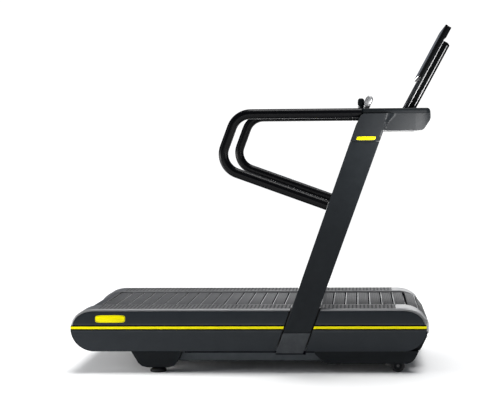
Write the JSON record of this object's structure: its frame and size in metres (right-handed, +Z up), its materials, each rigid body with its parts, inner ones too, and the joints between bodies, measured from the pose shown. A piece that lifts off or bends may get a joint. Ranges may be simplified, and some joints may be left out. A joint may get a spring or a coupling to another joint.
{
  "type": "treadmill",
  "caption": "Flat slat-belt treadmill with rounded side panels, leaning uprights, looped handrails, a console with levers and a tall leaning display; the front end lifts for incline.",
  "frame": {"origin": "on the floor, in the middle of the machine's overall box", "axes": "+X forward towards the display, +Y to the runner's left, +Z up"},
  "size_m": [1.9823, 0.938, 1.7914],
  "materials": {
    "black_rubber": "matt moulded rubber",
    "belt_slat": "ribbed grey running surface",
    "black_plastic": "fine-grained black moulding",
    "handrail_black": "smooth black sleeve",
    "charcoal_panel": "satin charcoal moulding",
    "graphite_paint": "satin graphite paint",
    "screen_shell": "dark grey moulding",
    "silver_trim": "satin anodised",
    "yellow_stripe": "bright yellow insert",
    "frame_steel": "dark powder coat",
    "turned_aluminium": "turned",
    "screw_steel": "bright",
    "chrome_lever": "satin chrome",
    "screen_glass": "glossy black screen front",
    "stop_red": "red push button"
  },
  "bodies": {
    "floor_feet": {"levelling_foot_left": "black_rubber", "levelling_foot_right": "black_rubber"},
    "deck": {"drive_belt": "black_rubber", "foot_housing_left": "black_plastic", "foot_housing_right": "black_plastic", "underside_pan": "black_plastic", "belly_cover": "black_plastic", "power_inlet": "black_plastic", "console_tray": "black_plastic", "sensor_bar": "black_plastic", "display_mast": "black_plastic", "display_fascia": "black_plastic", "handrail_left": "handrail_black", "handrail_right": "handrail_black", "rear_side_panel_left": "charcoal_panel", "rear_side_panel_right": "charcoal_panel", "front_side_panel_left": "charcoal_panel", "front_side_panel_right": "charcoal_panel", "upright_cover_left": "charcoal_panel", "upright_cover_right": "charcoal_panel", "upright_left": "graphite_paint", "upright_right": "graphite_paint", "console_body": "graphite_paint", "rear_cover": "graphite_paint", "screen_housing": "screen_shell", "foot_rail_left": "silver_trim", "foot_rail_right": "silver_trim", "rear_stripe_left": "yellow_stripe", "rear_stripe_right": "yellow_stripe", "front_stripe_left": "yellow_stripe", "front_stripe_right": "yellow_stripe", "side_beam_left": "frame_steel", "side_beam_right": "frame_steel", "cross_member_1": "frame_steel", "cross_member_2": "frame_steel", "lift_hanger": "frame_steel", "lift_actuator": "frame_steel", "drive_motor": "frame_steel", "front_bearing_left": "frame_steel", "front_bearing_right": "frame_steel", "rear_bearing_left": "frame_steel", "rear_bearing_right": "frame_steel", "screen_glass": "screen_glass"},
    "lift_arm": {"lift_arm": "frame_steel"},
    "lift_wheel_left": {"lift_wheel_left": "black_rubber"},
    "lift_wheel_right": {"lift_wheel_right": "black_rubber"},
    "lift_screw": {"lift_screw": "screw_steel"},
    "belt_top": {"belt_top_run": "belt_slat"},
    "belt_bottom": {"belt_bottom_run": "belt_slat"},
    "belt_front": {"belt_front_wrap": "belt_slat"},
    "belt_rear": {"belt_rear_wrap": "belt_slat"},
    "front_drum": {"front_drum": "turned_aluminium", "driven_pulley": "turned_aluminium"},
    "rear_drum": {"rear_drum": "turned_aluminium"},
    "motor_rotor": {"motor_pulley": "turned_aluminium"},
    "idler_1": {"idler_roller_1": "turned_aluminium"},
    "idler_2": {"idler_roller_2": "turned_aluminium"},
    "speed_lever_left": {"speed_lever_left": "chrome_lever"},
    "speed_lever_right": {"speed_lever_right": "chrome_lever"},
    "stop_button": {"stop_button": "stop_red"}
  },
  "joints": [
    {"name": "incline", "type": "hinge", "parent": "floor_feet", "child": "deck", "pos_m": [-0.544, 0, 0.025], "axis": [0, -1, 0], "range_deg": [0, 8.5]},
    {"name": "lift_arm_swing", "type": "hinge", "parent": "deck", "child": "lift_arm", "pos_m": [0.39, 0, 0.035], "axis": [0, 1, 0], "range_deg": [0, 35]},
    {"name": "lift_wheel_left_spin", "type": "hinge", "parent": "lift_arm", "child": "lift_wheel_left", "pos_m": [0.7, 0.4225, 0.034], "axis": [0, 1, 0], "continuous": true},
    {"name": "lift_wheel_right_spin", "type": "hinge", "parent": "lift_arm", "child": "lift_wheel_right", "pos_m": [0.7, -0.4225, 0.034], "axis": [0, 1, 0], "continuous": true},
    {"name": "lift_screw_travel", "type": "slide", "parent": "deck", "child": "lift_screw", "axis": [1, 0, 0], "range_m": [0, 0.0235]},
    {"name": "belt_travel", "type": "slide", "parent": "deck", "child": "belt_top", "axis": [1, 0, 0], "range_m": [-0.0323, 0.0323]},
    {"name": "belt_return", "type": "slide", "parent": "deck", "child": "belt_bottom", "axis": [-1, 0, 0], "range_m": [-0.033, 0.033]},
    {"name": "belt_front_turn", "type": "hinge", "parent": "deck", "child": "belt_front", "pos_m": [0.7498, 0, 0.2065], "axis": [0, 1, 0], "range_deg": [-19, 19]},
    {"name": "belt_rear_turn", "type": "hinge", "parent": "deck", "child": "belt_rear", "pos_m": [-0.8677, 0, 0.2065], "axis": [0, 1, 0], "range_deg": [-19, 19]},
    {"name": "front_drum_spin", "type": "hinge", "parent": "deck", "child": "front_drum", "pos_m": [0.7498, 0, 0.2065], "axis": [0, 1, 0], "range_deg": [-19, 19]},
    {"name": "rear_drum_spin", "type": "hinge", "parent": "deck", "child": "rear_drum", "pos_m": [-0.8677, 0, 0.2065], "axis": [0, 1, 0], "range_deg": [-19, 19]},
    {"name": "motor_spin", "type": "hinge", "parent": "deck", "child": "motor_rotor", "pos_m": [0.56, 0, 0.2065], "axis": [0, 1, 0], "range_deg": [-34, 34]},
    {"name": "idler_1_spin", "type": "hinge", "parent": "deck", "child": "idler_1", "pos_m": [-0.32, 0, 0.2839], "axis": [0, 1, 0], "range_deg": [-86, 86]},
    {"name": "idler_2_spin", "type": "hinge", "parent": "deck", "child": "idler_2", "pos_m": [0.34, 0, 0.2839], "axis": [0, 1, 0], "range_deg": [-86, 86]},
    {"name": "speed_lever_left_tilt", "type": "hinge", "parent": "deck", "child": "speed_lever_left", "pos_m": [0.545, 0.311, 1.368], "axis": [0, 1, 0], "range_deg": [-12, 12], "stiffness_Nm_per_rad": 3},
    {"name": "speed_lever_right_tilt", "type": "hinge", "parent": "deck", "child": "speed_lever_right", "pos_m": [0.545, -0.311, 1.368], "axis": [0, 1, 0], "range_deg": [-12, 12], "stiffness_Nm_per_rad": 3},
    {"name": "stop_button_push", "type": "slide", "parent": "deck", "child": "stop_button", "axis": [0, 0, -1], "range_m": [0, 0.005], "stiffness_N_per_m": 1500, "springref_m": -0.001}
  ],
  "couplings": [
    {"joint": "lift_arm_swing", "follows": "incline", "ratio": 4.11},
    {"joint": "lift_screw_travel", "follows": "incline", "m_per_rad": 0.155},
    {"joint": "belt_return", "follows": "belt_travel", "ratio": 1},
    {"joint": "belt_front_turn", "follows": "belt_travel", "rad_per_m": 9.711},
    {"joint": "belt_rear_turn", "follows": "belt_travel", "rad_per_m": 9.711},
    {"joint": "front_drum_spin", "follows": "belt_travel", "rad_per_m": 9.711},
    {"joint": "rear_drum_spin", "follows": "belt_travel", "rad_per_m": 9.711},
    {"joint": "motor_spin", "follows": "belt_travel", "rad_per_m": 17.341},
    {"joint": "idler_1_spin", "follows": "belt_travel", "rad_per_m": 45.455},
    {"joint": "idler_2_spin", "follows": "belt_travel", "rad_per_m": 45.455}
  ]
}
